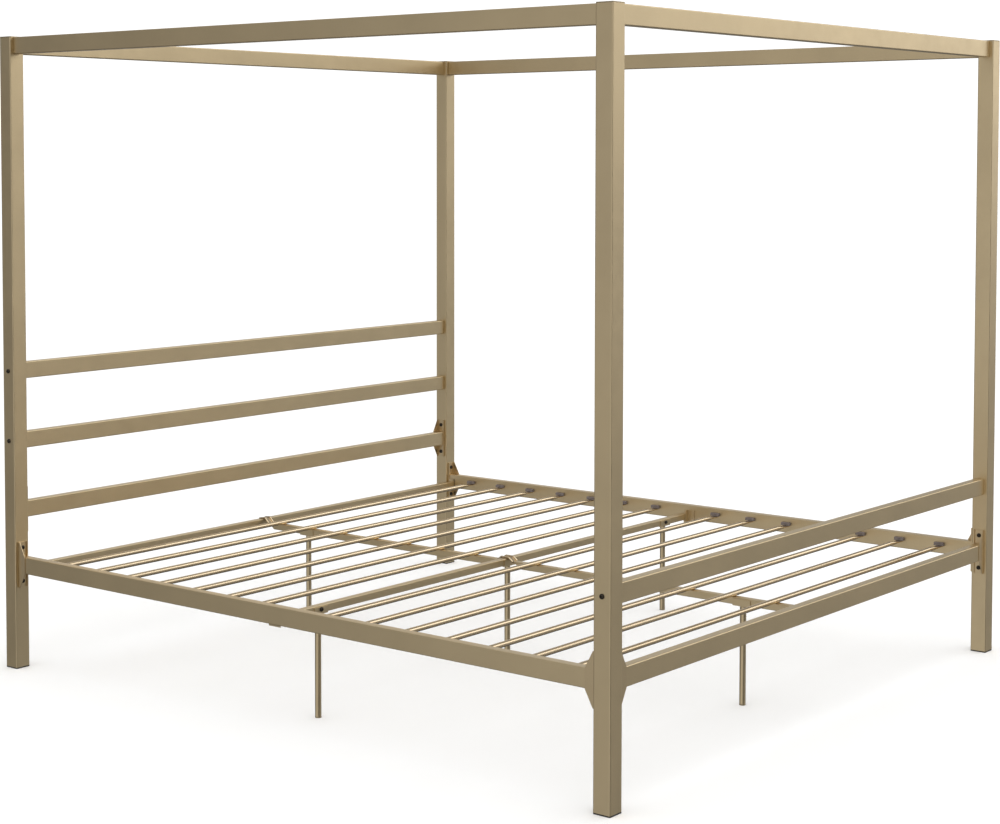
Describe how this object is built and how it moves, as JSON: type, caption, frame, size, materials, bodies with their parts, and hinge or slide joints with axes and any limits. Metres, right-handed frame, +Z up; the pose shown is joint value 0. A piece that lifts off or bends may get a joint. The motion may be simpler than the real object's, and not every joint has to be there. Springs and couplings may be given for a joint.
{
  "type": "four poster canopy bed",
  "caption": "Metal four poster canopy bed frame: square posts joined by a rectangular canopy, railed headboard and low footboard, round cross slats on side rails and support legs.",
  "frame": {"origin": "on the floor under the middle of the bed", "axes": "+Z up, +Y towards the headboard, +X to the right as seen from the foot of the bed"},
  "size_m": [1.98, 2.108, 1.803],
  "materials": {
    "gold_paint": "satin champagne gold metallic paint",
    "gold_tube": "glossier champagne gold metallic paint",
    "bracket_paint": "satin champagne gold metallic paint on folded sheet",
    "cap_plastic": "gold coloured moulded plastic",
    "glide_plastic": "dark moulded plastic",
    "bolt_black": "black oxide steel",
    "holder_plastic": "dark grey moulded plastic"
  },
  "bodies": {
    "root": {"beam_seat_left": "bracket_paint", "beam_seat_right": "bracket_paint", "bracket_footboard_left": "bracket_paint", "bracket_footboard_right": "bracket_paint", "bracket_headboard_left": "bracket_paint", "bracket_headboard_right": "bracket_paint", "bracket_side_foot_left": "bracket_paint", "bracket_side_foot_right": "bracket_paint", "bracket_side_head_left": "bracket_paint", "bracket_side_head_right": "bracket_paint", "canopy_rail_foot": "gold_paint", "canopy_rail_head": "gold_paint", "canopy_rail_left": "gold_paint", "canopy_rail_right": "gold_paint", "centre_beam_foot": "gold_paint", "centre_beam_head": "gold_paint", "centre_strap": "bracket_paint", "cross_beam": "gold_paint", "foot_beam_angle": "bracket_paint", "footboard_rail_low": "gold_paint", "footboard_rail_top": "gold_paint", "head_strap": "bracket_paint", "head_support_rail": "gold_paint", "headboard_rail_low": "gold_paint", "headboard_rail_middle": "gold_paint", "headboard_rail_top": "gold_paint", "leg_foot": "gold_paint", "leg_head": "gold_paint", "leg_left": "gold_paint", "leg_middle": "gold_paint", "leg_right": "gold_paint", "post_cap_foot_left": "cap_plastic", "post_cap_foot_right": "cap_plastic", "post_cap_head_left": "cap_plastic", "post_cap_head_right": "cap_plastic", "post_foot_left": "gold_paint", "post_foot_right": "gold_paint", "post_glide_foot_left": "glide_plastic", "post_glide_foot_right": "glide_plastic", "post_glide_head_left": "glide_plastic", "post_glide_head_right": "glide_plastic", "post_head_left": "gold_paint", "post_head_right": "gold_paint", "side_rail_left": "gold_paint", "side_rail_right": "gold_paint", "slat_01": "gold_tube", "slat_02": "gold_tube", "slat_03": "gold_tube", "slat_04": "gold_tube", "slat_05": "gold_tube", "slat_06": "gold_tube", "slat_07": "gold_tube", "slat_08": "gold_tube", "slat_09": "gold_tube", "slat_10": "gold_tube", "slat_11": "gold_tube", "slat_12": "gold_tube", "slat_13": "gold_tube", "slat_14": "gold_tube"}
  },
  "joints": []
}
